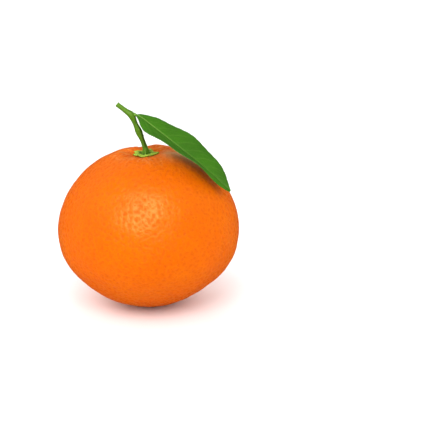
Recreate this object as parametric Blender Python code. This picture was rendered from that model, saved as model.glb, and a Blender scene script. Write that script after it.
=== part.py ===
"""A mandarin as picked: the fruit, its calyx, the cut stem and one leaf.

Metres, +Z up. The fruit stands on a small flat spot with its stem end up, and the origin is the
middle of that spot. The leaf leans over the shoulder at +X, a little towards -Y.
"""

import math

import bmesh
import bpy
from mathutils import Vector

MM = 0.001

# The fruit is a flattened ball: two superellipses that meet at the widest ring.
FRUIT_RADIUS = 33.0 * MM
EQUATOR_HEIGHT = 27.0 * MM
CROWN_RISE = 31.0 * MM
CROWN_FULLNESS = 2.06
BASE_FULLNESS = 1.79
REST_RADIUS = 6.0 * MM
FRUIT_SEGMENTS = 64
CROWN_RINGS = 18
BASE_RINGS = 14
REST_RINGS = 2

# The skin dips around the stem, with soft folds that run out from the dip.
STEM_END_X = -0.5 * MM  # the dip, the calyx and the stem's foot stand a little off the axis
DIMPLE_DEPTH = 2.9 * MM
DIMPLE_RADIUS = 7.0 * MM
FOLD_PEAK_RADIUS = 10.0 * MM
FOLDS = (  # direction in degrees, half width in degrees, height
    (65, 24, 0.8 * MM),
    (128, 16, 0.4 * MM),
    (190, 17, 0.8 * MM),
    (238, 12, 0.3 * MM),
    (282, 13, 0.3 * MM),
    (329, 18, 0.8 * MM),
)

# The calyx is a thin five-lobed star that lies in the dip.
CALYX_RADIUS = 4.4 * MM
CALYX_LOBE_DEPTH = 0.5 * MM
CALYX_LOBES = 5
CALYX_THICKNESS = 0.9 * MM
CALYX_EDGE = 0.45  # below 1 makes the rim blunter
CALYX_SEGMENTS = 60
CALYX_RINGS = 12

# The stem climbs from the calyx to the leaf's node, and ends in a cut twig.
STEM_FOOT_RADIUS = 1.35 * MM
STEM_NECK_RADIUS = 0.8 * MM
STEM_SWELLING_RADIUS = 1.2 * MM
STEM_NODE_RADIUS = 1.05 * MM
TWIG_RADIUS = 0.8 * MM
STEM_HEIGHT = 13.3 * MM  # from the stem's foot to the node
STEM_UPRIGHT = 1.5 * MM  # the stretch above the foot that stands straight
STEM_LEAN = 5.6 * MM  # how far the node stands to -X of the foot
STEM_BOW = 1.4  # above 1 the stem leans out more the higher it gets
TWIG_LENGTH = 5.3 * MM
TWIG_CLIMB = math.radians(38)
STEM_RESOLUTION = 5
STEM_BEVEL_RESOLUTION = 3

# The leaf starts beside the node, sinks as it runs out, and is folded along its midrib.
LEAF_SPAN = 35.2 * MM  # seen from above, from petiole to tip
LEAF_HEADING = math.radians(-14)
LEAF_SINK = math.radians(36)
LEAF_TIP_CURL = 1.5 * MM
LEAF_HALF_WIDTH = 8.6 * MM
LEAF_THICKNESS = 0.5 * MM
LEAF_BASE_TAPER = 0.6
LEAF_TIP_TAPER = 0.74
MIDRIB_THICKNESS = 0.6 * MM
MIDRIB_WIDTH = 0.9 * MM
PETIOLE_RADIUS = 0.55 * MM
PETIOLE_LENGTH = 1.4 * MM
PETIOLE_RISE = 0.45 * MM  # how far the petiole's end stands above the node's middle
FAR_FOLD = (28.0, 2.0)  # degrees at the petiole, and how much more at the tip
NEAR_FOLD = (34.0, -110.0, 85.0)  # degrees: start, slope and curve along the leaf
LEAF_SEGMENTS = 20
LEAF_RINGS = 36

# Pieces that grow together keep this gap, so that each stays a solid of its own.
CLEARANCE = 0.3 * MM
LEAF_SKIN_CLEARANCE = 1.2 * MM


def superellipse(share, fullness):
    """Height share of a superellipse, 0 to 1, at a share of its radius."""
    share = min(max(share, 0.0), 1.0)
    return (1.0 - share**fullness) ** (1.0 / fullness)


def fold_height(radius, angle):
    """Height of the soft folds at a distance and a direction from the axis."""
    reach = (radius / FOLD_PEAK_RADIUS) ** 2
    fade = reach * math.exp(1.0 - reach)
    total = 0.0
    for heading, half_width, height in FOLDS:
        turn = math.degrees(angle) - heading
        turn = (turn + 180.0) % 360.0 - 180.0
        total += height * math.exp(-((turn / half_width) ** 2))
    return total * fade


def skin_height(x, y):
    """Height of the skin over a point, above the widest ring."""
    share = math.hypot(x, y) / FRUIT_RADIUS
    dome = EQUATOR_HEIGHT + CROWN_RISE * superellipse(share, CROWN_FULLNESS)
    radius = math.hypot(x - STEM_END_X, y)
    dip = DIMPLE_DEPTH * math.exp(-((radius / DIMPLE_RADIUS) ** 2))
    return dome - dip + fold_height(radius, math.atan2(y, x - STEM_END_X))


def base_height(radius):
    """Height of the skin below the widest ring. It meets the flat spot at REST_RADIUS."""
    drop = EQUATOR_HEIGHT / superellipse(REST_RADIUS / FRUIT_RADIUS, BASE_FULLNESS)
    return EQUATOR_HEIGHT - drop * superellipse(radius / FRUIT_RADIUS, BASE_FULLNESS)


def sphere_with(segments, rings, place):
    """A sphere primitive whose points go where place(ring, azimuth) says, ring 0 on top."""
    mesh = bmesh.new()
    bmesh.ops.create_uvsphere(mesh, u_segments=segments, v_segments=rings, radius=1.0)
    for vertex in mesh.verts:
        polar = math.acos(min(max(vertex.co.z, -1.0), 1.0))
        azimuth = math.atan2(vertex.co.y, vertex.co.x)
        vertex.co = place(round(polar / math.pi * rings), azimuth)
    return mesh


def material(name, colour, roughness):
    made = bpy.data.materials.new(name)
    made.use_nodes = True
    shader = made.node_tree.nodes["Principled BSDF"]
    shader.inputs["Base Color"].default_value = (*colour, 1.0)
    shader.inputs["Roughness"].default_value = roughness
    shader.inputs["Metallic"].default_value = 0.0
    return made


def add_mesh(name, mesh, collection, look):
    data = bpy.data.meshes.new(name)
    mesh.to_mesh(data)
    mesh.free()
    data.shade_smooth()
    data.set_sharp_from_angle(angle=math.radians(50))
    made = bpy.data.objects.new(name, data)
    made.data.materials.append(look)
    collection.objects.link(made)
    return made


def make_fruit(collection):
    rings = CROWN_RINGS + BASE_RINGS + REST_RINGS
    rest_turn = math.acos((REST_RADIUS / FRUIT_RADIUS) ** (BASE_FULLNESS / 2.0))

    def place(ring, azimuth):
        if ring <= CROWN_RINGS:
            turn = ring / CROWN_RINGS * math.pi / 2.0
            radius = FRUIT_RADIUS * math.sin(turn) ** (2.0 / CROWN_FULLNESS)
        elif ring <= CROWN_RINGS + BASE_RINGS:
            turn = (ring - CROWN_RINGS) / BASE_RINGS * rest_turn
            radius = FRUIT_RADIUS * math.cos(turn) ** (2.0 / BASE_FULLNESS)
        else:
            radius = REST_RADIUS * (rings - ring) / REST_RINGS
        x = radius * math.cos(azimuth)
        y = radius * math.sin(azimuth)
        if ring <= CROWN_RINGS:
            height = skin_height(x, y)
        elif ring < CROWN_RINGS + BASE_RINGS:
            height = base_height(radius)
        else:
            height = 0.0
        return Vector((x, y, height))

    mesh = sphere_with(FRUIT_SEGMENTS, rings, place)
    add_mesh("fruit", mesh, collection, material("peel", (0.95, 0.21, 0.008), 0.42))


def make_calyx(collection):
    def place(ring, azimuth):
        polar = ring / CALYX_RINGS * math.pi
        reach = CALYX_RADIUS + CALYX_LOBE_DEPTH * math.cos(CALYX_LOBES * azimuth)
        radius = reach * max(math.sin(polar), 0.0) ** CALYX_EDGE
        x = STEM_END_X + radius * math.cos(azimuth)
        y = radius * math.sin(azimuth)
        rise = CALYX_THICKNESS * (0.5 + 0.5 * math.cos(polar))
        return Vector((x, y, skin_height(x, y) + CLEARANCE + rise))

    mesh = sphere_with(CALYX_SEGMENTS, CALYX_RINGS, place)
    add_mesh("calyx", mesh, collection, material("calyx", (0.34, 0.36, 0.05), 0.7))


def stem_foot():
    """Middle of the stem's lower end, a clearance above the calyx."""
    skin = skin_height(STEM_END_X + STEM_FOOT_RADIUS, 0.0)
    return Vector((STEM_END_X, 0.0, skin + CALYX_THICKNESS + 2.0 * CLEARANCE))


def stem_node():
    return stem_foot() + Vector((-STEM_LEAN, 0.0, STEM_HEIGHT))


def make_stem(collection):
    foot = stem_foot()
    node = stem_node()
    twig_way = Vector((-math.cos(TWIG_CLIMB), 0.0, math.sin(TWIG_CLIMB)))

    def on_stem(share):
        climb = STEM_UPRIGHT + (STEM_HEIGHT - STEM_UPRIGHT) * share
        return foot + Vector((-STEM_LEAN * share**STEM_BOW, 0.0, climb))

    route = (
        (foot, STEM_FOOT_RADIUS),
        (on_stem(0.0), STEM_NECK_RADIUS),
        (on_stem(0.3), STEM_NECK_RADIUS),
        (on_stem(0.52), STEM_SWELLING_RADIUS),
        (on_stem(0.76), STEM_NECK_RADIUS),
        (node, STEM_NODE_RADIUS),
        (node + twig_way * TWIG_LENGTH * 0.4, TWIG_RADIUS),
        (node + twig_way * TWIG_LENGTH, TWIG_RADIUS),
    )
    curve = bpy.data.curves.new("stem", "CURVE")
    curve.dimensions = "3D"
    curve.resolution_u = STEM_RESOLUTION
    curve.bevel_depth = 1.0
    curve.bevel_resolution = STEM_BEVEL_RESOLUTION
    curve.use_fill_caps = True
    spline = curve.splines.new("BEZIER")
    spline.bezier_points.add(len(route) - 1)
    for point, (place, radius) in zip(spline.bezier_points, route):
        point.co = place
        point.radius = radius
        point.handle_left_type = "AUTO"
        point.handle_right_type = "AUTO"
    curve.materials.append(material("stem", (0.11, 0.23, 0.03), 0.55))
    collection.objects.link(bpy.data.objects.new("stem", curve))


def leaf_base():
    """Middle of the petiole's end, beside the node."""
    beside = STEM_NODE_RADIUS + CLEARANCE + PETIOLE_RADIUS
    return stem_node() + Vector((beside, 0.0, PETIOLE_RISE))


def midrib_point(share):
    """A point of the midrib: it sinks evenly, and the fruit's shoulder holds it up."""
    base = leaf_base()
    run = LEAF_SPAN * share
    x = base.x + run * math.cos(LEAF_HEADING)
    y = base.y + run * math.sin(LEAF_HEADING)
    free = base.z - run * math.tan(LEAF_SINK) - LEAF_TIP_CURL * share**6
    held = skin_height(x, y) + LEAF_SKIN_CLEARANCE
    blend = 0.5 * MM
    height = (free + held + math.hypot(free - held, blend)) / 2.0
    return Vector((x, y, height))


def leaf_axes(share):
    """The midrib's direction, the direction across it, and the way up from the blade."""
    step = 0.005
    along = (midrib_point(share + step) - midrib_point(share - step)).normalized()
    across = Vector((0.0, 1.0, 0.0))
    across = (across - along * across.dot(along)).normalized()
    return along, across, along.cross(across)


def leaf_half_width(share):
    """Half width of the blade, on top of the petiole's own radius."""
    start = PETIOLE_LENGTH / LEAF_SPAN
    spread = max(share - start, 0.0) / (1.0 - start)
    peak = LEAF_BASE_TAPER / (LEAF_BASE_TAPER + LEAF_TIP_TAPER)
    highest = peak**LEAF_BASE_TAPER * (1.0 - peak) ** LEAF_TIP_TAPER
    blade = spread**LEAF_BASE_TAPER * (1.0 - spread) ** LEAF_TIP_TAPER / highest
    return PETIOLE_RADIUS * (1.0 - share) + (LEAF_HALF_WIDTH - PETIOLE_RADIUS) * blade


def make_leaf(collection):
    def place(ring, azimuth):
        # The first ring after the pole is the petiole's cut end, so that it closes flat.
        share = max(ring - 1, 0) / (LEAF_RINGS - 1)
        along, across, up = leaf_axes(share)
        middle = midrib_point(share)
        if ring == 0:
            return middle
        side = -leaf_half_width(share) * math.cos(azimuth)
        if side >= 0.0:
            fold = math.radians(FAR_FOLD[0] + FAR_FOLD[1] * share)
        else:
            fold = math.radians(NEAR_FOLD[0] + NEAR_FOLD[1] * share + NEAR_FOLD[2] * share**2)
        rib = math.exp(-((side / MIDRIB_WIDTH) ** 2)) * (1.0 - share)
        thickness = LEAF_THICKNESS + MIDRIB_THICKNESS * rib
        spread = across * side * math.cos(fold) + up * side * math.sin(fold)
        return middle + spread + up * (thickness / 2.0 * math.sin(azimuth))

    mesh = sphere_with(LEAF_SEGMENTS, LEAF_RINGS, place)
    add_mesh("leaf", mesh, collection, material("leaf", (0.06, 0.23, 0.018), 0.4))


def main():
    for existing in list(bpy.data.objects):
        bpy.data.objects.remove(existing, do_unlink=True)
    collection = bpy.data.collections.new("mandarin")
    bpy.context.scene.collection.children.link(collection)
    make_fruit(collection)
    make_calyx(collection)
    make_stem(collection)
    make_leaf(collection)


main()
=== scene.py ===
"""A ripe mandarin with its calyx, cut stem and one leaf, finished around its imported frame.

Laid out as a Blender add-on and run as a script: each piece has an operator and its own settings,
and main() calls the operators in order. Everything is in metres, +Z up, in the frame of the model.
"""

import math

import bmesh
import bpy
from bpy.props import FloatProperty, FloatVectorProperty, IntProperty, PointerProperty
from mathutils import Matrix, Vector, noise


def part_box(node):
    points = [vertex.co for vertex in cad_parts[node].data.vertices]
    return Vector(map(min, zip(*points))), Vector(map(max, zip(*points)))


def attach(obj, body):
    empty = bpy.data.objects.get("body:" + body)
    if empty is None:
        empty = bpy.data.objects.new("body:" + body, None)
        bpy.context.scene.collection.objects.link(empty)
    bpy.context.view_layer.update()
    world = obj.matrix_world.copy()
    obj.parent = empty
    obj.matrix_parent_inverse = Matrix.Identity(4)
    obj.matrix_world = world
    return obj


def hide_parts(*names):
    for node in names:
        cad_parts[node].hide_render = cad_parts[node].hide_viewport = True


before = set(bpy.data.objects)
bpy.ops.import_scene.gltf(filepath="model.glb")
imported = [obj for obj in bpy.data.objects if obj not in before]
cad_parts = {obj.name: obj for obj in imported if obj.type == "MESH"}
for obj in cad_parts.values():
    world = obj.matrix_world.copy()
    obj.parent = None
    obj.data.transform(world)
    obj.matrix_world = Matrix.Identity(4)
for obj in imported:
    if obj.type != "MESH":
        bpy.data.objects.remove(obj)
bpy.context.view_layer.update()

bl_info = {
    "name": "Mandarin",
    "version": (1, 0, 0),
    "blender": (4, 5, 0),
    "location": "3D View > Sidebar > Mandarin",
    "description": "Builds a ripe mandarin with its stem and leaf, and a plain studio stage",
    "category": "Add Mesh",
}

MM = 0.001
FRUIT_LOW, FRUIT_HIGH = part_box("fruit")
STEM_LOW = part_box("stem")[0]
LEAF_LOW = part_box("leaf")[0]


# ---------------------------------------------------------------- settings


def length(name, description, default):
    return FloatProperty(
        name=name, description=description, default=default, subtype="DISTANCE", unit="LENGTH",
        precision=5
    )


def angle(name, description, degrees):
    return FloatProperty(
        name=name, description=description, default=math.radians(degrees), subtype="ANGLE",
        unit="ROTATION"
    )


def number(name, description, default):
    return FloatProperty(name=name, description=description, default=default)


def colour(name, description, default):
    return FloatVectorProperty(
        name=name, description=description, default=default, size=3, min=0.0, max=1.0,
        subtype="COLOR"
    )


class PeelSettings(bpy.types.PropertyGroup):
    """Form and finish of the fruit's peel"""

    radius: length("Radius", "Half the fruit's width", (FRUIT_HIGH.x - FRUIT_LOW.x) / 2.0)
    equator: length("Widest ring", "Height of the widest ring above the table", 27.0 * MM)
    crown_rise: length("Crown rise", "Height of the crown above the widest ring", 31.0 * MM)
    crown_fullness: number("Crown fullness", "2 is an ellipse, more is squarer", 2.06)
    base_fullness: number("Base fullness", "2 is an ellipse, less is more pointed", 1.79)
    rest_radius: length("Flat spot", "Radius of the flat spot on the base", 6.0 * MM)
    stem_end_x: length("Stem end", "Place of the dip along X", -0.8 * MM)
    dip_depth: length("Dip depth", "Depth of the dip around the stem", 2.9 * MM)
    dip_radius: length("Dip radius", "Radius of the dip around the stem", 7.0 * MM)
    fold_radius: length("Fold radius", "Distance at which the soft folds are highest", 10.0 * MM)
    wrinkle_height: length("Wrinkles", "Height of the fine folds beside the calyx", 0.5 * MM)
    lump_height: length("Lumps", "Height of the slow unevenness of the skin", 0.35 * MM)
    large_spacing: length("Large gland spacing", "Least distance between large glands", 2.0 * MM)
    large_radius: length("Large gland radius", "Radius of a large gland's pit", 0.6 * MM)
    large_depth: length("Large gland depth", "Depth of a large gland's pit", 0.13 * MM)
    small_spacing: length("Small gland spacing", "Least distance between small glands", 1.4 * MM)
    small_radius: length("Small gland radius", "Radius of a small gland's pit", 0.46 * MM)
    small_depth: length("Small gland depth", "Depth of a small gland's pit", 0.05 * MM)
    pore_size: length("Pore size", "Size of the cells that each hold one fine pore", 0.9 * MM)
    pore_depth: length("Pore depth", "Depth of the fine pores", 0.07 * MM)
    light: colour("Light orange", "Lightest colour of the peel", (0.66, 0.127, 0.0005))
    deep: colour("Deep orange", "Deepest colour of the peel", (0.63, 0.104, 0.0004))
    gland: colour("Gland", "Colour at the bottom of a pit", (0.55, 0.072, 0.0004))
    # Painted reflection: the speckled tan patch beside the calyx stands for the leaf mirrored in the
    # glossy skin, not for worn skin.
    leaf_reflection_and_floor_wear: colour("Worn skin", "Colour of the rough tan patch beside the calyx", (0.78, 0.34, 0.13))
    # Painted highlight: the pale streaks stand for light caught on the fine wrinkles around the
    # calyx.
    highlight_streak: colour("Streaks", "Colour of the pale streaks around the calyx", (0.74, 0.27, 0.07))
    scar: colour("Scar", "Colour of the scar under the fruit", (0.22, 0.12, 0.03))
    cuts: IntProperty(name="Cuts", description="Cuts along the cube's edges", default=123)


class CalyxSettings(bpy.types.PropertyGroup):
    """Form and finish of the green star under the stem"""

    radius: length("Radius", "Mean radius of the star", 4.3 * MM)
    lobe_depth: length("Lobe depth", "How far each lobe reaches out", 0.5 * MM)
    thickness: length("Thickness", "Thickness of the lobes", 0.75 * MM)
    lobes: IntProperty(name="Lobes", description="Number of lobes", default=5)
    top: colour("Top", "Colour of the lobes", (0.125, 0.235, 0.016))
    # Painted shade in the hollow around the stem; the same dark green also mottles the lobes at
    # random.
    shade: colour("Shade", "Colour of the hollow around the stem", (0.04, 0.085, 0.006))
    # Painted light: the paler yellow-green on the outer part of the lobes stands for light falling
    # on their tops.
    tip: colour("Tip", "Colour of the thick rim", (0.29, 0.44, 0.035))


class StemSettings(bpy.types.PropertyGroup):
    """Form and finish of the stalk and the cut twig"""

    foot_radius: length("Foot radius", "Radius where the stalk meets the calyx", 1.3 * MM)
    neck_radius: length("Neck radius", "Radius of the slim stretches", 0.9 * MM)
    swelling_radius: length("Swelling radius", "Radius of the swelling half way", 1.22 * MM)
    node_radius: length("Node radius", "Radius of the node where the leaf grows", 1.18 * MM)
    twig_radius: length("Twig radius", "Radius of the cut twig", 0.86 * MM)
    twig_length: length("Twig length", "Length of the twig past the node", 6.5 * MM)
    node_height: length("Node height", "Height of the node above the foot", 13.9 * MM)
    upright: length("Upright stretch", "Straight stretch above the foot", 1.5 * MM)
    lean: length("Lean", "How far the node stands to -X of the foot", 4.75 * MM)
    bow: number("Bow", "Above 1 the stalk leans out more near the node", 1.2)
    climb: angle("Twig climb", "Angle of the twig above the level", 38.5)
    bark: colour("Bark", "Colour of the stalk", (0.088, 0.212, 0.009))
    # Painted shade: the dark green in the furrow stands for the shaded side of the groove.
    furrow_shade: colour("Dark bark", "Colour in the furrows", (0.030, 0.055, 0.004))
    pith: colour("Pith", "Colour of the cut end", (0.42, 0.52, 0.25))


class LeafSettings(bpy.types.PropertyGroup):
    """Form and finish of the leaf"""

    span: length("Span", "Length seen from above, from petiole to tip", 35.2 * MM)
    far_width: length("Far half", "Width of the half on the +Y side", 9.2 * MM)
    near_width: length("Near half", "Width of the half on the -Y side", 10.0 * MM)
    heading: angle("Heading", "Direction of the leaf seen from above", -18.4)
    sink: angle("Sink", "How steeply the leaf runs down", 34.7)
    tip_curl: length("Tip curl", "How far the tip bends down", 1.7 * MM)
    thickness: length("Thickness", "Thickness of the blade", 0.32 * MM)
    petiole_radius: length("Petiole radius", "Radius of the petiole", 0.52 * MM)
    petiole_length: length("Petiole length", "Bare stretch before the blade", 0.15 * MM)
    petiole_depth: length("Petiole depth", "How far the petiole reaches into the node", 1.9 * MM)
    vein_pairs: IntProperty(name="Vein pairs", description="Side veins on each half", default=9)
    vein_depth: length("Vein depth", "Depth of the side veins", 0.05 * MM)
    tooth_height: length("Tooth height", "Height of the small teeth of the rim", 0.16 * MM)
    upper: colour("Upper side", "Colour of the upper side", (0.038, 0.155, 0.005))
    deep: colour("Deep green", "Darker patches of the upper side", (0.028, 0.118, 0.004))
    vein: colour("Vein", "Colour of the veins", (0.19, 0.34, 0.06))
    under: colour("Underside", "Colour of the underside", (0.11, 0.22, 0.05))


class StageSettings(bpy.types.PropertyGroup):
    """The plain studio around the fruit"""

    floor_radius: length("Floor radius", "Radius of the round floor", 3.0)
    floor: colour("Floor", "Colour of the floor", (0.93, 0.93, 0.93))
    elevation: angle("Camera elevation", "Angle of the camera above the level", 17.0)
    distance: length("Camera distance", "Distance from the camera to its aim", 437.2 * MM)
    aim_x: length("Aim along X", "Where the camera aims, from the fruit's axis", 24.5 * MM)
    aim_z: length("Aim height", "Height that the camera aims at", 32.7 * MM)
    lens: number("Lens", "Focal length in millimetres", 100.0)
    key_power: number("Key light", "Power in watts", 3.1)
    gleam_power: number("Gleam", "Watts of the light that only shows as a gleam", 56.0)
    overhead_power: number("Overhead light", "Strength of the light from straight above", 1.7)
    fill_power: number("Fill lights", "Strength of the wide lights around the fruit", 1.55)
    room_light: number("Room light", "Strength of the even light of the room", 0.05)


# ---------------------------------------------------------------- node helpers


def fill(tree, node, inputs):
    """Sets inputs. Each is a number, a colour, or another node's output to link."""
    for name, value in inputs.items():
        if isinstance(value, bpy.types.NodeSocket):
            tree.links.new(value, node.inputs[name])
        else:
            node.inputs[name].default_value = value


def wire(tree, kind, inputs=None, **settings):
    """Adds a node with its settings and inputs."""
    node = tree.nodes.new(kind)
    for name, value in settings.items():
        setattr(node, name, value)
    fill(tree, node, inputs or {})
    return node


def calc(tree, operation, *values):
    """A Math node's result."""
    return wire(tree, "ShaderNodeMath", dict(enumerate(values)), operation=operation).outputs[0]


def blend_colour(tree, factor, first, second):
    """A Mix node on colours. The socket numbers are those of its colour inputs."""
    inputs = {0: factor, 6: first, 7: second}
    return wire(tree, "ShaderNodeMix", inputs, data_type="RGBA").outputs[2]


def remap(tree, value, low, high, to_low=0.0, to_high=1.0):
    """A smooth step from one range of values to another."""
    inputs = {"Value": value, "From Min": low, "From Max": high, "To Min": to_low, "To Max": to_high}
    node = wire(tree, "ShaderNodeMapRange", inputs, interpolation_type="SMOOTHSTEP")
    return node.outputs["Result"]


def rgba(value):
    """A colour with full alpha, as sockets take it."""
    return (*value, 1.0)


def new_group(name, kind, inputs, outputs):
    """A node group with named sockets. Each socket is (name, type, default)."""
    group = bpy.data.node_groups.new(name, kind)
    for direction, sockets in (("INPUT", inputs), ("OUTPUT", outputs)):
        for socket_name, socket_type, default in sockets:
            socket = group.interface.new_socket(
                name=socket_name, in_out=direction, socket_type="NodeSocket" + socket_type
            )
            if default is not None:
                socket.default_value = default
    start = group.nodes.new("NodeGroupInput")
    end = group.nodes.new("NodeGroupOutput")
    return group, start.outputs, end.inputs


def mottle_group():
    """Slow patches and fine speckle between two colours, with the same patches as a mask."""
    group, given, result = new_group(
        "Mottle",
        "ShaderNodeTree",
        (
            ("Vector", "Vector", None),
            ("First", "Color", (1.0, 1.0, 1.0, 1.0)),
            ("Second", "Color", (0.0, 0.0, 0.0, 1.0)),
            ("Patch Scale", "Float", 60.0),
            ("Speckle Scale", "Float", 900.0),
            ("Speckle Share", "Float", 0.3),
        ),
        (("Color", "Color", None), ("Mask", "Float", None)),
    )
    patches = wire(
        group, "ShaderNodeTexNoise",
        {"Vector": given["Vector"], "Scale": given["Patch Scale"], "Detail": 3.0},
    ).outputs["Fac"]
    speckle = wire(
        group, "ShaderNodeTexNoise",
        {"Vector": given["Vector"], "Scale": given["Speckle Scale"], "Detail": 2.0},
    ).outputs["Fac"]
    slow = remap(group, patches, 0.35, 0.65)
    fine = remap(group, speckle, 0.35, 0.65)
    spread = calc(group, "SUBTRACT", fine, slow)
    mask = calc(group, "MULTIPLY_ADD", spread, given["Speckle Share"], slow)
    group.links.new(blend_colour(group, mask, given["First"], given["Second"]), result["Color"])
    group.links.new(mask, result["Mask"])
    return group


def grain_group():
    """A fine uneven surface as a height, from two sizes of noise."""
    group, given, result = new_group(
        "Fine Grain",
        "ShaderNodeTree",
        (
            ("Vector", "Vector", None),
            ("Scale", "Float", 2500.0),
            ("Coarse Share", "Float", 0.5),
        ),
        (("Height", "Float", None),),
    )
    fine = wire(
        group, "ShaderNodeTexNoise",
        {"Vector": given["Vector"], "Scale": given["Scale"], "Detail": 2.0},
    ).outputs["Fac"]
    coarse_scale = calc(group, "MULTIPLY", given["Scale"], 0.3)
    coarse = wire(
        group, "ShaderNodeTexNoise",
        {"Vector": given["Vector"], "Scale": coarse_scale, "Detail": 1.0},
    ).outputs["Fac"]
    mixed = calc(group, "MULTIPLY_ADD", coarse, given["Coarse Share"], fine)
    group.links.new(mixed, result["Height"])
    return group


def shared_group(name, make):
    """The group of that name, made on first use."""
    return bpy.data.node_groups.get(name) or make()


def new_material(name):
    """A material with its tree, its Principled shader and the object's own coordinates."""
    made = bpy.data.materials.new(name)
    made.use_nodes = True
    tree = made.node_tree
    shader = tree.nodes["Principled BSDF"]
    place = tree.nodes.new("ShaderNodeTexCoord").outputs["Object"]
    return made, tree, shader, place


def mottle(tree, place, first, second, patch, speckle, speckle_share):
    """Colour and mask of slow patches and speckle. A larger scale makes smaller ones."""
    inputs = {
        "Vector": place, "First": first, "Second": second, "Patch Scale": patch,
        "Speckle Scale": speckle, "Speckle Share": speckle_share,
    }
    group = shared_group("Mottle", mottle_group)
    node = wire(tree, "ShaderNodeGroup", inputs, node_tree=group)
    return node.outputs["Color"], node.outputs["Mask"]


def grain(tree, place, scale, coarse_share):
    """Height of the fine grain."""
    inputs = {"Vector": place, "Scale": scale, "Coarse Share": coarse_share}
    group = shared_group("Fine Grain", grain_group)
    return wire(tree, "ShaderNodeGroup", inputs, node_tree=group).outputs["Height"]


def attribute(tree, name):
    """A mask that the mesh carries."""
    return wire(tree, "ShaderNodeAttribute", attribute_name=name).outputs["Fac"]


def bump(tree, shader, height, distance, below=None):
    """Puts a bump on the shader, its depth in metres, over the bump below if there is one."""
    inputs = {"Height": height, "Distance": distance}
    if below is not None:
        inputs["Normal"] = below
    normal = wire(tree, "ShaderNodeBump", inputs).outputs["Normal"]
    tree.links.new(normal, shader.inputs["Normal"])
    return normal


# ---------------------------------------------------------------- mesh helpers


def object_from(name, mesh, material):
    """Makes a smooth, outward-facing mesh object from a bmesh and its material."""
    if mesh.calc_volume(signed=True) < 0.0:
        bmesh.ops.reverse_faces(mesh, faces=mesh.faces[:])
    data = bpy.data.meshes.new(name)
    mesh.to_mesh(data)
    mesh.free()
    data.shade_smooth()
    data.materials.append(material)
    made = bpy.data.objects.new(name, data)
    bpy.context.scene.collection.objects.link(made)
    return made


def ball_piece(name, material, place, masks, segments, rings):
    """A ball whose points place(along, turn) moves: along is 0 to 1 from pole to pole.

    place gives the new point and one value for each mask, which becomes a mesh attribute.
    """
    mesh = bmesh.new()
    bmesh.ops.create_uvsphere(mesh, u_segments=segments, v_segments=rings, radius=1.0)
    layers = [mesh.verts.layers.float.new(mask) for mask in masks]
    for vertex in mesh.verts:
        polar = math.acos(min(max(vertex.co.z, -1.0), 1.0))
        turn = math.atan2(vertex.co.y, vertex.co.x)
        along = round(polar / math.pi * rings) / rings
        vertex.co, *values = place(along, turn)
        for layer, value in zip(layers, values):
            vertex[layer] = value
    return object_from(name, mesh, material)


def finish_piece(piece, node):
    """The piece rides on the one body and stands for its solid, which is hidden."""
    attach(piece, "root")
    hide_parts(node)


def smooth(value, low, high):
    """Smooth step from 0 at low to 1 at high."""
    part = min(max((value - low) / (high - low), 0.0), 1.0)
    return part * part * (3.0 - 2.0 * part)


def bell(value, width):
    """1 at zero, falling off smoothly over the width on either side."""
    return math.exp(-((value / width) ** 2))


def turned(direction, heading):
    """Angle from a heading, between half a turn either way."""
    return (direction - heading + math.pi) % math.tau - math.pi


def on_ring(turn, height=0.0):
    """A point of a ring of radius 1, on which noise closes without a seam."""
    return Vector((math.cos(turn), math.sin(turn), height))


# ---------------------------------------------------------------- surface marks


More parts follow.
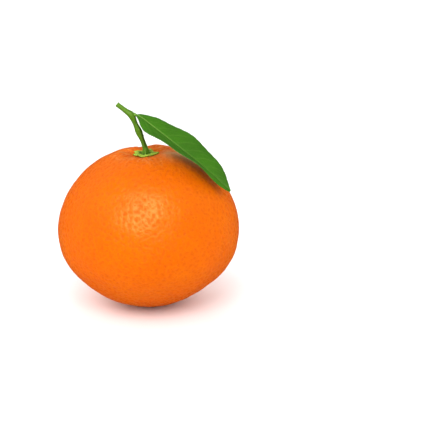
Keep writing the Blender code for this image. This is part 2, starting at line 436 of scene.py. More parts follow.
def surface_marks_tree():
    """Geometry nodes that scatter pits or bumps over a mesh and keep where they are as a mask."""
    tree, given, result = new_group(
        "Surface Marks",
        "GeometryNodeTree",
        (
            ("Geometry", "Geometry", None),
            ("Spacing", "Float", 0.002),
            ("Radius", "Float", 0.0005),
            ("Depth", "Float", 0.0001),
            ("Rim", "Float", 0.3),
            ("Variation", "Float", 0.3),
            ("Seed", "Int", 1),
            ("Material", "Material", None),
        ),
        (("Geometry", "Geometry", None),),
    )
    tree.is_modifier = True
    area = calc(tree, "MULTIPLY", given["Spacing"], given["Spacing"])
    scatter = wire(
        tree, "GeometryNodeDistributePointsOnFaces",
        {
            "Mesh": given["Geometry"],
            "Distance Min": given["Spacing"],
            "Density Max": calc(tree, "DIVIDE", 3.0, area),
            "Seed": given["Seed"],
        },
        distribute_method="POISSON",
    )
    size = wire(
        tree, "FunctionNodeRandomValue",
        {
            "Min": calc(tree, "SUBTRACT", 1.0, given["Variation"]),
            "Max": calc(tree, "ADD", 1.0, given["Variation"]),
            "Seed": given["Seed"],
        },
        data_type="FLOAT",
    )
    points = scatter.outputs["Points"]
    nearest = wire(tree, "GeometryNodeSampleNearest", {"Geometry": points}, domain="POINT")
    # The random value has one output of each kind, and the second is the plain number.
    mark_size = wire(
        tree, "GeometryNodeSampleIndex",
        {"Geometry": points, "Value": size.outputs[1], "Index": nearest.outputs["Index"]},
        data_type="FLOAT", domain="POINT",
    ).outputs["Value"]
    gap = wire(
        tree, "GeometryNodeProximity", {0: points}, target_element="POINTS"
    ).outputs["Distance"]
    part = calc(tree, "DIVIDE", gap, calc(tree, "MULTIPLY", given["Radius"], mark_size))
    square = calc(tree, "MULTIPLY", part, part)
    fall = calc(tree, "EXPONENT", calc(tree, "MULTIPLY", square, -1.0))
    rim = calc(tree, "SUBTRACT", 1.0, calc(tree, "MULTIPLY", square, given["Rim"]))
    depth = calc(tree, "MULTIPLY", calc(tree, "MULTIPLY", fall, rim), mark_size)
    move = wire(
        tree, "ShaderNodeVectorMath",
        {0: wire(tree, "GeometryNodeInputNormal").outputs[0]},
        operation="SCALE",
    )
    tree.links.new(
        calc(tree, "MULTIPLY", calc(tree, "MULTIPLY", depth, given["Depth"]), -1.0),
        move.inputs["Scale"],
    )
    # The marks of an earlier pass stay in the mask.
    known = wire(tree, "GeometryNodeInputNamedAttribute", {"Name": "mark"}, data_type="FLOAT")
    stored = wire(
        tree, "GeometryNodeStoreNamedAttribute",
        {
            "Geometry": given["Geometry"],
            "Name": "mark",
            "Value": calc(tree, "MAXIMUM", known.outputs["Attribute"], fall),
        },
        data_type="FLOAT", domain="POINT",
    )
    moved = wire(
        tree, "GeometryNodeSetPosition",
        {"Geometry": stored.outputs[0], "Offset": move.outputs["Vector"]},
    )
    real = wire(tree, "GeometryNodeRealizeInstances", {"Geometry": moved.outputs[0]})
    dressed = wire(
        tree, "GeometryNodeSetMaterial",
        {"Geometry": real.outputs[0], "Material": given["Material"]},
    )
    tree.links.new(dressed.outputs[0], result["Geometry"])
    return tree


def add_marks(piece, passes):
    """Runs the surface marks over the piece once for each pass and makes the result its mesh."""
    tree = shared_group("Surface Marks", surface_marks_tree)
    sockets = {
        item.name: item.identifier
        for item in tree.interface.items_tree
        if item.item_type == "SOCKET" and item.in_out == "INPUT"
    }
    material = piece.data.materials[0]
    for values in passes:
        modifier = piece.modifiers.new("Surface Marks", "NODES")
        modifier.node_group = tree
        for name, value in values.items():
            modifier[sockets[name]] = value
        modifier[sockets["Material"]] = material
    graph = bpy.context.evaluated_depsgraph_get()
    marked = bpy.data.meshes.new_from_object(piece.evaluated_get(graph), depsgraph=graph)
    old = piece.data
    name = old.name
    piece.modifiers.clear()
    piece.data = marked
    bpy.data.meshes.remove(old)
    marked.name = name
    marked.shade_smooth()


# ---------------------------------------------------------------- peel

FOLDS = (  # direction in degrees, half width in degrees, height in millimetres
    (65, 24, 0.8),
    (128, 16, 0.4),
    (190, 17, 0.8),
    (238, 12, 0.3),
    (282, 13, 0.3),
    (329, 18, 0.8),
)


def fold_height(peel, radius, direction):
    """The soft folds that run out from the dip, and finer wrinkles beside the calyx."""
    reach = (radius / peel.fold_radius) ** 2
    soft = sum(
        height * MM * bell(turned(direction, math.radians(heading)), math.radians(width))
        for heading, width, height in FOLDS
    )
    ring = on_ring(direction)
    wrinkle_radius = 0.62 * peel.fold_radius
    near = (radius / wrinkle_radius) ** 2
    fine = noise.noise(ring * 3.4 + Vector((0.0, 0.0, radius / (9.0 * MM))))
    crease = noise.noise(ring * 7.0 + Vector((5.0, 0.0, radius / (6.0 * MM))))
    wrinkle = peel.wrinkle_height * (fine + 0.45 * crease)
    return soft * reach * math.exp(1.0 - reach) + wrinkle * near * math.exp(1.0 - near)


def dome_height(peel, radius):
    """Height of the crown above the widest ring, before its dip and folds."""
    spread = min(radius / peel.radius, 1.0)
    return peel.crown_rise * (1.0 - spread**peel.crown_fullness) ** (1.0 / peel.crown_fullness)


def crown_height(peel, x, y):
    """Height of the skin over a point of the crown."""
    radius = math.hypot(x - peel.stem_end_x, y)
    dip = peel.dip_depth * bell(radius, peel.dip_radius)
    folds = fold_height(peel, radius, math.atan2(y, x - peel.stem_end_x))
    return peel.equator + dome_height(peel, math.hypot(x, y)) - dip + folds


def base_height(peel, radius, rise, depth):
    """Height of the base, which rounds into its flat spot and has the scar in its middle."""
    rest = 1.0 - (peel.rest_radius / peel.radius) ** peel.base_fullness
    drop = peel.equator / rest ** (1.0 / peel.base_fullness)
    bare = peel.equator - drop * rise
    rounding = 0.12 * MM
    held = (bare + math.hypot(bare, rounding)) / 2.0
    hollow = 0.3 * MM * bell(radius, 1.3 * MM)
    ring = 0.12 * MM * bell(radius - 2.2 * MM, 0.6 * MM)
    return max(held + (hollow - ring) * smooth(depth, 0.9, 0.97), 0.0)


def skin_point(peel, way):
    """The point of the skin for a direction out of the middle of the ball."""
    lift = abs(way.z)
    level = math.sqrt(max(1.0 - lift * lift, 0.0))
    turn = math.atan2(way.y, way.x)
    end = peel.crown_fullness if way.z >= 0.0 else peel.base_fullness
    # The form is an ellipse at the widest ring, so that crown and base meet without an edge.
    fullness = 2.0 + (end - 2.0) * smooth(lift, 0.0, 0.75)
    radius = peel.radius * level ** (2.0 / fullness)
    rise = lift ** (2.0 / fullness)
    x = radius * math.cos(turn)
    y = radius * math.sin(turn)
    if way.z < 0.0:
        return Vector((x, y, base_height(peel, radius, rise, -way.z)))
    bare = dome_height(peel, radius)
    return Vector((x, y, crown_height(peel, x, y) - bare + peel.crown_rise * rise))


def leaf_reflection_share(point):
    """Strength of the tan patch beside the calyx, under the leaf: painted reflection of the leaf in
    the glossy skin.
    """
    starts = smooth(point.x, 4.0 * MM, 8.0 * MM)
    ends = smooth(point.x, 15.0 * MM, 21.0 * MM)
    middle_y = -2.6 * MM
    half_width = 4.2 * MM
    return starts * (1.0 - ends) * bell(point.y - middle_y, half_width)


def highlight_streak_share(peel, point):
    """Strength of the thin pale streaks that run out from the dip: painted highlights on the fine
    wrinkles.
    """
    x = point.x - peel.stem_end_x
    radius = math.hypot(x, point.y)
    ring = Vector((x, point.y, 0.0)) / max(radius, 0.1 * MM)
    line = noise.noise(ring * 6.5 + Vector((1.0, 4.0, radius / (8.0 * MM))))
    starts = smooth(radius, 3.5 * MM, 6.0 * MM)
    ends = smooth(radius, 9.0 * MM, 17.0 * MM)
    # A painted highlight streak lies where the noise is close to one level.
    level = 0.12
    half_width = 0.06
    return bell(line - level, half_width) * (starts * (1.0 - ends))


def peel_material(peel):
    """Orange skin with darker pits, fine pores, painted highlight streaks, a speckled tan patch of
    painted leaf reflection, and the scar.
    """
    made, tree, shader, place = new_material("mandarin peel")
    base, patches = mottle(
        tree, place, rgba(peel.light), rgba(peel.deep), patch=70.0, speckle=700.0,
        speckle_share=0.45
    )
    mark = attribute(tree, "mark")
    pits = remap(tree, mark, 0.2, 0.95, 0.0, 0.5)
    base = blend_colour(tree, pits, base, rgba(peel.gland))
    cells = wire(
        tree, "ShaderNodeTexVoronoi", {"Vector": place, "Scale": 1.0 / peel.pore_size}
    ).outputs["Distance"]
    pores = remap(tree, cells, 0.0, 0.5, 1.0, 0.0)
    base = blend_colour(tree, calc(tree, "MULTIPLY", pores, 0.35), base, rgba(peel.gland))
    # Painted highlights: pale streaks where the wrinkles around the calyx catch the light.
    base = blend_colour(
        tree, calc(tree, "MULTIPLY", attribute(tree, "highlight_streak"), 0.75), base, rgba(peel.highlight_streak)
    )
    # Painted reflection: speckled tan under the leaf stands for the leaf mirrored in the glossy
    # skin.
    reflection_flecks = remap(tree, grain(tree, place, scale=800.0, coarse_share=0.5), 0.46, 0.54)
    reflection_flecks = calc(tree, "MULTIPLY", reflection_flecks, attribute(tree, "leaf_reflection_and_floor_wear"))
    base = blend_colour(tree, reflection_flecks, base, rgba(peel.leaf_reflection_and_floor_wear))
    base = blend_colour(tree, attribute(tree, "scar"), base, rgba(peel.scar))
    rough = calc(tree, "MULTIPLY_ADD", mark, 0.40, 0.26)
    rough = calc(tree, "MULTIPLY_ADD", pores, 0.15, rough)
    rough = calc(tree, "MULTIPLY_ADD", patches, 0.05, rough)
    fill(tree, shader, {
        "Base Color": base,
        "Roughness": rough,
        "Specular IOR Level": 0.09,
        "Specular Tint": (1.0, 0.7, 0.27, 1.0),
        "Subsurface Weight": 0.08,
        "Subsurface Radius": (1.0, 0.35, 0.08),
        "Subsurface Scale": 1.5 * MM,
    })
    below = bump(tree, shader, calc(tree, "SUBTRACT", 1.0, pores), peel.pore_depth)
    bump(tree, shader, grain(tree, place, scale=2600.0, coarse_share=0.6), 0.014 * MM, below=below)
    return made


class MANDARIN_OT_peel(bpy.types.Operator):
    """Builds the fruit in its peel, with its folds, pits and scar"""

    bl_idname = "mandarin.build_peel"
    bl_label = "Peel"

    def execute(self, context):
        peel = context.scene.mandarin_peel
        mesh = bmesh.new()
        bmesh.ops.create_cube(mesh, size=2.0)
        bmesh.ops.subdivide_edges(mesh, edges=mesh.edges[:], cuts=peel.cuts, use_grid_fill=True)
        scar = mesh.verts.layers.float.new("scar")
        leaf_reflection_and_floor_wear = mesh.verts.layers.float.new("leaf_reflection_and_floor_wear")
        highlight_streak = mesh.verts.layers.float.new("highlight_streak")
        lump_scale = 1.0 / (13.0 * MM)
        scar_radius = 1.7 * MM
        # The fruit is a cube blown up to a ball, so that its faces are nearly equal.
        for vertex in mesh.verts:
            way = Vector([math.tan(c * math.pi / 4.0) for c in vertex.co]).normalized()
            point = skin_point(peel, way)
            lump = peel.lump_height * noise.noise(point * lump_scale)
            lump += 0.4 * peel.lump_height * noise.noise(point * lump_scale * 2.7)
            level = smooth(point.z, 0.0, 6.0 * MM)
            vertex.co = point + way * lump * level
            if way.z < 0.0:
                vertex[scar] = bell(math.hypot(point.x, point.y), scar_radius)
            # The crown carries the masks of the painted leaf reflection and the painted highlight
            # streaks.
            elif way.z > 0.0:
                vertex[leaf_reflection_and_floor_wear] = leaf_reflection_share(point)
                vertex[highlight_streak] = highlight_streak_share(peel, point)
        piece = object_from("peel", mesh, peel_material(peel))
        add_marks(piece, (
            {"Spacing": peel.large_spacing, "Radius": peel.large_radius,
             "Depth": peel.large_depth, "Rim": 0.1, "Variation": 0.35, "Seed": 11},
            {"Spacing": peel.small_spacing, "Radius": peel.small_radius,
             "Depth": peel.small_depth, "Rim": 0.1, "Variation": 0.3, "Seed": 29},
        ))
        finish_piece(piece, "fruit")
        return {"FINISHED"}


# ---------------------------------------------------------------- calyx


def calyx_material(calyx):
    """Matt green, with painted shade in the hollow around the stem and painted light on the outer
    part of the lobes.
    """
    made, tree, shader, place = new_material("green calyx")
    base, _ = mottle(
        tree, place, rgba(calyx.top), rgba(calyx.shade), patch=420.0, speckle=2600.0,
        speckle_share=0.5
    )
    # Painted shade: the hollow around the stem is darkened in colour.
    base = blend_colour(tree, attribute(tree, "hollow_shade"), base, rgba(calyx.shade))
    # Painted light on the outer part of the lobes.
    base = blend_colour(tree, attribute(tree, "rim"), base, rgba(calyx.tip))
    fill(tree, shader, {
        "Base Color": base,
        "Roughness": 0.55,
        "Specular IOR Level": 0.16,
        "Specular Tint": (0.9, 1.0, 0.6, 1.0),
    })
    bump(tree, shader, grain(tree, place, scale=2400.0, coarse_share=1.0), 0.12 * MM)
    return made


def calyx_outline(calyx, turn):
    """Radius of the star in a direction: its lobes, each torn into small teeth."""
    around = on_ring(turn)
    lobes = calyx.lobe_depth * math.cos(calyx.lobes * turn)
    teeth = 0.6 * MM * noise.noise(around * 3.4 + Vector((0.0, 0.0, 2.0)))
    jags = 0.34 * MM * noise.noise(around * 8.0) + 0.14 * MM * noise.noise(around * 17.0)
    return calyx.radius + lobes + teeth + jags


def calyx_point(peel, calyx, along, turn):
    """A point of the star, which lies on the crown, and its masks for the painted shade of the
    hollow and the painted light of the rim.
    """
    socket_radius = 1.9 * MM
    polar = along * math.pi
    # The low power brings most rings near the rim, which is thick and blunt.
    part = max(math.sin(polar), 0.0) ** 0.42
    radius = calyx_outline(calyx, turn) * part
    x = peel.stem_end_x + radius * math.cos(turn)
    y = radius * math.sin(turn)
    side = 0.5 + 0.5 * math.cos(polar)
    around = on_ring(turn)
    ribs = 0.12 * MM * noise.noise(around * 6.0 + Vector((3.0, 1.0, 0.0)))
    ring = 0.3 * MM * bell(radius - 1.5 * socket_radius, 0.8 * MM)
    hollow = 0.45 * MM * bell(radius, 1.05 * socket_radius)
    lump = 0.3 * MM * noise.noise(Vector((x, y, 0.0)) / (1.0 * MM))
    lip = 0.12 * MM * smooth(part, 0.5, 0.85)
    top = calyx.thickness + ring - hollow + lip + (ribs + lump) * part
    gap = 0.05 * MM
    droop = 0.15 * MM * part**4
    height = crown_height(peel, x, y) + gap - droop + top * side
    # Mask of the painted shade around the stem.
    hollow_shade = bell(radius, 2.5 * MM)
    # Mask of the painted light on the outer part of the lobes.
    rim = smooth(part + 0.18 * noise.noise(around * 2.0), 0.45, 0.75)
    return Vector((x, y, height)), hollow_shade, rim


class MANDARIN_OT_calyx(bpy.types.Operator):
    """Builds the five-lobed green star that the fruit hangs from"""

    bl_idname = "mandarin.build_calyx"
    bl_label = "Calyx"

    def execute(self, context):
        peel = context.scene.mandarin_peel
        calyx = context.scene.mandarin_calyx

        def place(along, turn):
            return calyx_point(peel, calyx, along, turn)

        piece = ball_piece(
            "calyx_star", calyx_material(calyx), place, ("hollow_shade", "rim"), segments=160, rings=44
        )
        finish_piece(piece, "calyx")
        return {"FINISHED"}


# ---------------------------------------------------------------- stem


def stem_foot(peel):
    """Where the stalk's axis meets the calyx."""
    return Vector((peel.stem_end_x, 0.0, STEM_LOW.z - 0.5 * MM))


def stem_node(peel, stem):
    """The middle of the node, where the leaf grows and the twig starts."""
    foot = stem_foot(peel)
    return Vector((foot.x - stem.lean, 0.0, foot.z + stem.node_height))


def stem_route(peel, stem):
    """The stalk's axis as (point, radius), from the foot past the node to the cut end."""
    foot = stem_foot(peel)
    node = stem_node(peel, stem)
    way = Vector((-math.cos(stem.climb), 0.0, math.sin(stem.climb)))

    def on_stalk(part):
        rise = stem.upright + (node.z - foot.z - stem.upright) * part
        return foot + Vector((-stem.lean * part**stem.bow, 0.0, rise))

    return (
        (foot, stem.foot_radius),
        (on_stalk(0.0), stem.neck_radius * 1.12),
        (on_stalk(0.15), stem.neck_radius),
        (on_stalk(0.3), stem.neck_radius),
        (on_stalk(0.52), stem.swelling_radius),
        (on_stalk(0.76), stem.neck_radius * 0.98),
        (node, stem.node_radius),
        (node + way * stem.twig_length * 0.35, stem.twig_radius * 1.1),
        (node + way * stem.twig_length * 0.7, stem.twig_radius),
        (node + way * stem.twig_length, stem.twig_radius * 1.05),
    )


def route_at(route, part):
    """Point, radius and direction at a share of a smooth curve through the route's points."""
    count = len(route) - 1
    at = min(max(part, 0.0), 1.0) * count
    index = min(int(at), count - 1)
    t = at - index
    knots = [route[min(max(index + k, 0), count)] for k in (-1, 0, 1, 2)]

    def through(values):
        a, b, c, d = values
        return 0.5 * (
            2.0 * b + (c - a) * t + (2.0 * a - 5.0 * b + 4.0 * c - d) * t**2
            + (3.0 * b - a - 3.0 * c + d) * t**3
        )

    def slope(values):
        a, b, c, d = values
        return (c - a) + 2.0 * (2.0 * a - 5.0 * b + 4.0 * c - d) * t + 3.0 * (
            3.0 * b - a - 3.0 * c + d) * t**2

    places = [knot[0] for knot in knots]
    return through(places), through([knot[1] for knot in knots]), slope(places).normalized()


def stem_material(stem):
    """Green bark with painted shade in its furrow, pale warts and the pale pith of the cut end."""
    made, tree, shader, place = new_material("green stalk")
    shaded = [0.72 * part for part in stem.bark]
    base, _ = mottle(
        tree, place, rgba(stem.bark), rgba(shaded), patch=300.0, speckle=1500.0,
        speckle_share=0.4
    )
    # Painted shade in the furrow.
    base = blend_colour(tree, attribute(tree, "furrow"), base, rgba(stem.furrow_shade))
    spots = remap(tree, attribute(tree, "mark"), 0.3, 1.0, 0.0, 0.3)
    base = blend_colour(tree, spots, base, rgba(stem.pith))
    base = blend_colour(tree, attribute(tree, "pith"), base, rgba(stem.pith))
    fill(tree, shader, {
        "Base Color": base,
        "Roughness": 0.5,
        "Specular IOR Level": 0.09,
        "Specular Tint": (0.8, 1.0, 0.5, 1.0),
    })
    bump(tree, shader, grain(tree, place, scale=2200.0, coarse_share=0.8), 0.06 * MM)
    return made


def stalk_point(route, along, turn):
    """A point of the stalk or the twig, and its masks for the painted shade in the furrow and the
    pith.
    """
    # At both ends a share of the rings closes the foot and the cut end.
    cap = 0.05
    part = (along - cap) / (1.0 - 2.0 * cap)
    point, radius, way = route_at(route, part)
    side = Vector((0.0, 1.0, 0.0))
    out = side.cross(way).normalized()
    spin = turn + 2.2 * part
    flutes = 0.05 * math.cos(3.0 * spin) + 0.04 * math.cos(5.0 * turn - 4.0 * part)
    rough = 0.05 * noise.noise(on_ring(turn, part * 14.0) * 2.2)
    foot = smooth(0.12 - part, 0.0, 0.12) * 0.16 * math.cos(5.0 * turn + 1.0)
    # The furrow winds from the front of the foot to the right side under the node, and its mask
    # carries painted shade.
    groove = bell(turned(turn, -1.25 + 1.5 * part), 0.32) * smooth(part, 0.1, 0.25)
    groove *= 1.0 - smooth(part, 0.6, 0.7)
    width = radius * (1.0 + flutes + rough + foot - 0.3 * groove)
    pith = 0.0
    if along < cap:
        width *= math.sin(along / cap * math.pi / 2.0)
    elif along > 1.0 - cap:
        inward = (1.0 - along) / cap
        width *= min(inward / 0.75, 1.0) ** 0.8
        pith = smooth(0.9 - inward, 0.0, 0.25)
        point = point - way * 0.18 * MM * bell(inward, 0.35)
    radial = out * math.cos(turn) + side * math.sin(turn)
    return point + radial * width, min(groove * 1.1, 1.0), pith


class MANDARIN_OT_stem(bpy.types.Operator):
    """Builds the stalk with its swelling and node, and the cut twig"""

    bl_idname = "mandarin.build_stem"
    bl_label = "Stem"

    def execute(self, context):
        peel = context.scene.mandarin_peel
        stem = context.scene.mandarin_stem
        route = stem_route(peel, stem)

        def place(along, turn):
            return stalk_point(route, along, turn)

        piece = ball_piece(
            "stalk", stem_material(stem), place, ("furrow", "pith"), segments=56, rings=260
        )
        # A negative depth raises the marks into warts.
        warts = {"Spacing": 1.3 * MM, "Radius": 0.13 * MM, "Depth": -0.03 * MM, "Rim": 0.0,
                 "Variation": 0.4, "Seed": 5}
        add_marks(piece, (warts,))
        finish_piece(piece, "stem")
        return {"FINISHED"}


# ---------------------------------------------------------------- leaf


def leaf_midrib(peel, stem, leaf, part):
    """A point of the midrib: it sinks evenly, and the fruit's shoulder holds it up."""
    start_x = LEAF_LOW.x + 0.61 * MM
    start_z = stem_node(peel, stem).z + 0.82 * MM
    run = leaf.span * part
    x = start_x + run * math.cos(leaf.heading)
    y = run * math.sin(leaf.heading)
    rounding = 0.7 * MM
    fall = (run + math.hypot(run, rounding)) / 2.0
    into_node = min(run, 0.0) / leaf.petiole_depth
    sag = 0.55 * MM * into_node**2 + 0.45 * MM * bell(run, 1.2 * MM)
    free = start_z - sag - fall * math.tan(leaf.sink) - leaf.tip_curl * part**6
    clearance = 1.2 * MM
    held = peel.equator + dome_height(peel, math.hypot(x, y)) + clearance
    blend = 0.5 * MM
    return Vector((x, y, (free + held + math.hypot(free - held, blend)) / 2.0))


def leaf_axes(peel, stem, leaf, part):
    """The directions across the midrib and up from it."""
    step = 0.004
    ahead = leaf_midrib(peel, stem, leaf, part + step)
    behind = leaf_midrib(peel, stem, leaf, part - step)
    along = (ahead - behind).normalized()
    side = Vector((0.0, 1.0, 0.0))
    across = (side - along * side.dot(along)).normalized()
    return across, along.cross(across)


def leaf_half_width(leaf, part, widest):
    """Width of a half, which is widest just past the middle of the blade."""
    base_taper = 0.83
    tip_taper = 0.78
    peak = base_taper / (base_taper + tip_taper)
    highest = peak**base_taper * (1.0 - peak) ** tip_taper
    start = leaf.petiole_length / leaf.span
    spread = min(max((part - start) / (1.0 - start), 0.0), 1.0)
    blade = spread**base_taper * (1.0 - spread) ** tip_taper / highest
    return leaf.petiole_radius * (1.0 - part) + (widest - leaf.petiole_radius) * blade


def leaf_reach(leaf, part, far, blade, swell):
    """How far a half reaches from the midrib, with the small teeth of its rim."""
    widest = leaf.far_width if far else leaf.near_width
    width = leaf_half_width(leaf, part, widest) * (blade + swell * (1.0 - blade))
    narrowing = 0.3 * smooth(part, -0.02, 0.01) * (1.0 - smooth(part, 0.01, 0.18))
    width *= 1.0 - narrowing
    teeth = abs(math.sin(part * math.pi * 15.0 + (0.7 if far else 0.0))) ** 0.6
    ease = blade * smooth(1.0 - part, 0.0, 0.1)
    return width - leaf.tooth_height * (1.0 - teeth) * ease


def leaf_tilt(part, far):
    """Tilt of a half about the midrib. It lifts the +Y side, or lowers the -Y side."""
    if far:
        return math.radians(29.6 + 5.8 * part)
    return math.radians(37.3 - 135.0 * part + 105.0 * part * part)


def leaf_vein(leaf, part, edge, far, blade):
    """Strength of the side veins, and the distance from the nearest in vein spacings."""
    # They leave the midrib forwards and bend along the blade towards the rim.
    phase = (part - 0.16 * edge - 0.05 * edge * edge) * leaf.vein_pairs * 1.08
    if not far:
        phase += 0.42
    off = abs(phase - round(phase))
    fade = smooth(1.0 - edge, 0.03, 0.5) * smooth(1.0 - part, 0.03, 0.2)
    return bell(off, 0.055) * fade * blade, off


def leaf_point(peel, stem, leaf, along, turn):
    """A point of the leaf, and its masks for the veins, the underside and the petiole."""
    into_node = leaf.petiole_depth / leaf.span
    part = -into_node + (1.0 + into_node) * along
    across, up = leaf_axes(peel, stem, leaf, part)
    top = turn >= 0.0
    lateral = 1.0 - 2.0 * abs(turn) / math.pi
    far = lateral > 0.0
    edge = abs(lateral)
    blade = smooth(part, -0.008, 0.03)
    # The petiole is round, so its points follow a circle rather than a sheet.
    lateral = lateral * blade + math.cos(turn) * (1.0 - blade)
    swell = 1.0 + 0.25 * smooth(-part, -0.01, into_node)
    side = leaf_reach(leaf, part, far, blade, swell) * lateral
    valley = 0.25 * MM
    lean = math.copysign(math.hypot(side, valley) - valley, side)
    tilt = leaf_tilt(part, far)
    out = lean * math.cos(tilt) + (side - lean)
    vein, off = leaf_vein(leaf, part, edge, far, blade)
    crown = edge * (1.0 - edge) * 4.0
    quilt = 0.06 * MM * math.sin(math.pi * min(2.0 * off, 1.0)) * crown
    arch = 0.45 * MM * crown * smooth(part, 0.0, 0.3)
    wave = 0.3 * MM * edge**3 * math.sin(part * 17.0 + (0.0 if far else 2.1))
    rise = lean * math.sin(tilt) + (quilt + arch + wave) * blade - leaf.vein_depth * vein
    rib = bell(side, 0.28 * MM) * blade
    round_rim = math.sqrt(max(1.0 - edge**10, 0.0))
    height = leaf.thickness / 2.0 * (round_rim * blade + (1.0 - blade))
    if top:
        height -= 0.09 * MM * rib
    else:
        height += 0.5 * MM * rib * (1.0 - part) ** 0.6 + 0.06 * MM * vein
    petiole = leaf.petiole_radius * abs(math.sin(turn)) * swell
    height = height * blade + petiole * (1.0 - blade)
    rise += height if top else -height
    closing = smooth(along, 0.0, 0.004)
    point = leaf_midrib(peel, stem, leaf, part) + (across * out + up * rise) * closing
    rib_mask = bell(side, 0.26 * MM) * smooth(1.0 - part, 0.0, 0.15) * blade
    return point, max(vein * 0.13, rib_mask), 0.0 if top else blade, 1.0 - blade


def leaf_material(leaf, stem):
    """Glossy green with a faint net and pale veins, duller and paler underneath."""
    made, tree, shader, place = new_material("glossy leaf")
    upper, patches = mottle(
        tree, place, rgba(leaf.upper), rgba(leaf.deep), patch=110.0, speckle=1400.0,
        speckle_share=0.3
    )
    cells = wire(
        tree, "ShaderNodeTexVoronoi", {"Vector": place, "Scale": 900.0},
        feature="DISTANCE_TO_EDGE",
    ).outputs["Distance"]
    net = remap(tree, cells, 0.0, 0.1, 0.05, 0.0)
    upper = blend_colour(tree, net, upper, rgba(leaf.vein))
    upper = blend_colour(tree, attribute(tree, "vein"), upper, rgba(leaf.vein))
    under = attribute(tree, "under")
    base = blend_colour(tree, under, upper, rgba(leaf.under))
    base = blend_colour(tree, attribute(tree, "petiole"), base, rgba(stem.bark))
    rough = calc(tree, "MULTIPLY_ADD", under, 0.22, 0.36)
    rough = calc(tree, "MULTIPLY_ADD", patches, 0.08, rough)
    fill(tree, shader, {
        "Base Color": base,
        "Roughness": rough,
        "Specular IOR Level": 0.14,
        "Specular Tint": (0.7, 1.0, 0.4, 1.0),
    })
    below = bump(tree, shader, cells, 0.015 * MM)
    bump(tree, shader, grain(tree, place, scale=2400.0, coarse_share=0.7), 0.02 * MM, below=below)
    return made


class MANDARIN_OT_leaf(bpy.types.Operator):
    """Builds the leaf with its petiole, midrib, veins and toothed rim"""

    bl_idname = "mandarin.build_leaf"
    bl_label = "Leaf"

    def execute(self, context):
        peel = context.scene.mandarin_peel
        stem = context.scene.mandarin_stem
        leaf = context.scene.mandarin_leaf

        def place(along, turn):
            return leaf_point(peel, stem, leaf, along, turn)

        piece = ball_piece(
            "leaf_blade", leaf_material(leaf, stem), place, ("vein", "under", "petiole"),
            segments=132, rings=240
        )
        finish_piece(piece, "leaf")
        return {"FINISHED"}


# ---------------------------------------------------------------- stage


OVERHEAD_SPREAD = 140.0  # degrees, as are the next two
FILL_SPREAD = 80.0
FILL_CLIMB = 20.0
FILLS = (  # name, azimuth in degrees, share of the fill power
    ("front fill", 0.0, 0.8),
    ("right fill", 90.0, 0.95),
    ("left fill", -90.0, 1.35),
    ("back fill", 180.0, 1.0),
)
KEY_PLACE = Vector((-0.05, -0.62, 0.62))
KEY_WIDTH = 0.5
GLEAM_WIDTH = 0.75


def aim(thing, target):
    """Turns a light or a camera, whose front is -Z, towards a point."""
    thing.rotation_euler = (target - thing.location).to_track_quat("-Z", "Y").to_euler()


def disc_light(name, target, width, power):
    """A round light at the key light's place, aimed at a point."""
    data = bpy.data.lights.new(name, "AREA")
    data.shape = "DISK"
    data.size = width
    data.energy = power
    light = bpy.data.objects.new(name, data)
    light.location = KEY_PLACE
    aim(light, target)
    light.visible_camera = False
    bpy.context.scene.collection.objects.link(light)
    return light


def wide_light(name, azimuth, climb, spread, power):
    """A wide distant light without a gleam. Azimuth 0 is the front, -Y, and climb 90 above."""
    data = bpy.data.lights.new(name, "SUN")
    data.energy = power
    data.angle = math.radians(spread)
    light = bpy.data.objects.new(name, data)
    light.rotation_euler = (math.radians(90.0 - climb), 0.0, math.radians(azimuth))
    light.visible_glossy = False
    bpy.context.scene.collection.objects.link(light)


def floor_material(stage):
    """Matt, nearly white, with faint slow patches."""
    made, tree, shader, place = new_material("pale floor")
    leaf_reflection_and_floor_wear = [0.985 * part for part in stage.floor]
    base, _ = mottle(
        tree, place, rgba(stage.floor), rgba(leaf_reflection_and_floor_wear), patch=9.0, speckle=60.0, speckle_share=0.3
    )
    fill(tree, shader, {"Base Color": base, "Roughness": 0.8, "Specular IOR Level": 0.2})
    return made


def studio_world(stage):
    """An even room that looks white and lights the fruit a little from every side."""
    world = bpy.data.worlds.new("studio")
    world.use_nodes = True
    tree = world.node_tree
    ground = tree.nodes["Background"]
    seen = tree.nodes.new("ShaderNodeLightPath").outputs["Is Camera Ray"]
    strength = calc(tree, "MAXIMUM", seen, stage.room_light)
    fill(tree, ground, {"Color": (1.0, 1.0, 1.0, 1.0), "Strength": strength})
    bpy.context.scene.world = world


def lay_floor(stage):
    """The round floor, which the fruit stands on."""
    mesh = bmesh.new()
    bmesh.ops.create_circle(mesh, cap_ends=True, segments=96, radius=stage.floor_radius)
    data = bpy.data.meshes.new("floor")
    mesh.to_mesh(data)
    mesh.free()
    data.materials.append(floor_material(stage))
    floor = bpy.data.objects.new("floor", data)
    bpy.context.scene.collection.objects.link(floor)
    floor.visible_glossy = False


def set_lights(stage, middle):
    """Wide lights from above and around, a key light, and a gleam that lights nothing else."""
    wide_light("overhead", 0.0, 90.0, OVERHEAD_SPREAD, stage.overhead_power)
    for name, azimuth, part in FILLS:
        wide_light(name, azimuth, FILL_CLIMB, FILL_SPREAD, stage.fill_power * part)
    disc_light("key", middle, KEY_WIDTH, stage.key_power)
    gleam = disc_light("gleam", middle, GLEAM_WIDTH, stage.gleam_power)
    gleam.visible_diffuse = False


def set_camera(stage):
    """The camera looks along +Y and down by its elevation."""
    camera = bpy.data.objects.new("camera", bpy.data.cameras.new("camera"))
    camera.data.lens = stage.lens
    camera.data.sensor_width = 36.0
    camera.data.clip_start = 0.01
    target = Vector((stage.aim_x, 0.0, stage.aim_z))
    back = Vector((0.0, -math.cos(stage.elevation), math.sin(stage.elevation)))
    camera.location = target + back * stage.distance
    aim(camera, target)
    bpy.context.scene.collection.objects.link(camera)
    bpy.context.scene.camera = camera


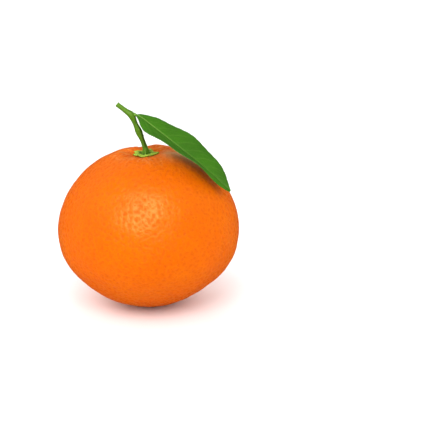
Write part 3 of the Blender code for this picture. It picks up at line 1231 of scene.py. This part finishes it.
class MANDARIN_OT_stage(bpy.types.Operator):
    """Builds the pale floor, the soft lights and the camera"""

    bl_idname = "mandarin.build_stage"
    bl_label = "Stage"

    def execute(self, context):
        scene = context.scene
        stage = scene.mandarin_stage
        lay_floor(stage)
        studio_world(stage)
        set_lights(stage, Vector((0.0, 0.0, scene.mandarin_peel.equator)))
        set_camera(stage)
        scene.view_settings.view_transform = "Standard"
        return {"FINISHED"}


# ---------------------------------------------------------------- panel and run


class MANDARIN_PT_pieces(bpy.types.Panel):
    """The pieces of the mandarin, each with its settings"""

    bl_idname = "MANDARIN_PT_pieces"
    bl_label = "Mandarin"
    bl_space_type = "VIEW_3D"
    bl_region_type = "UI"
    bl_category = "Mandarin"

    def draw(self, context):
        for operator, holder in STEPS:
            box = self.layout.box()
            box.operator(operator.bl_idname)
            settings = getattr(context.scene, holder)
            for name in settings.__annotations__:
                box.prop(settings, name)


SETTINGS = {
    "mandarin_peel": PeelSettings,
    "mandarin_calyx": CalyxSettings,
    "mandarin_stem": StemSettings,
    "mandarin_leaf": LeafSettings,
    "mandarin_stage": StageSettings,
}
STEPS = (
    (MANDARIN_OT_peel, "mandarin_peel"),
    (MANDARIN_OT_calyx, "mandarin_calyx"),
    (MANDARIN_OT_stem, "mandarin_stem"),
    (MANDARIN_OT_leaf, "mandarin_leaf"),
    (MANDARIN_OT_stage, "mandarin_stage"),
)


def register():
    for holder, kind in SETTINGS.items():
        bpy.utils.register_class(kind)
        setattr(bpy.types.Scene, holder, PointerProperty(type=kind))
    for operator, _ in STEPS:
        bpy.utils.register_class(operator)
    bpy.utils.register_class(MANDARIN_PT_pieces)


def unregister():
    bpy.utils.unregister_class(MANDARIN_PT_pieces)
    for operator, _ in reversed(STEPS):
        bpy.utils.unregister_class(operator)
    for holder, kind in reversed(SETTINGS.items()):
        delattr(bpy.types.Scene, holder)
        bpy.utils.unregister_class(kind)


def main():
    register()
    bpy.ops.mandarin.build_peel()
    bpy.ops.mandarin.build_calyx()
    bpy.ops.mandarin.build_stem()
    bpy.ops.mandarin.build_leaf()
    bpy.ops.mandarin.build_stage()


if __name__ == "__main__":
    main()
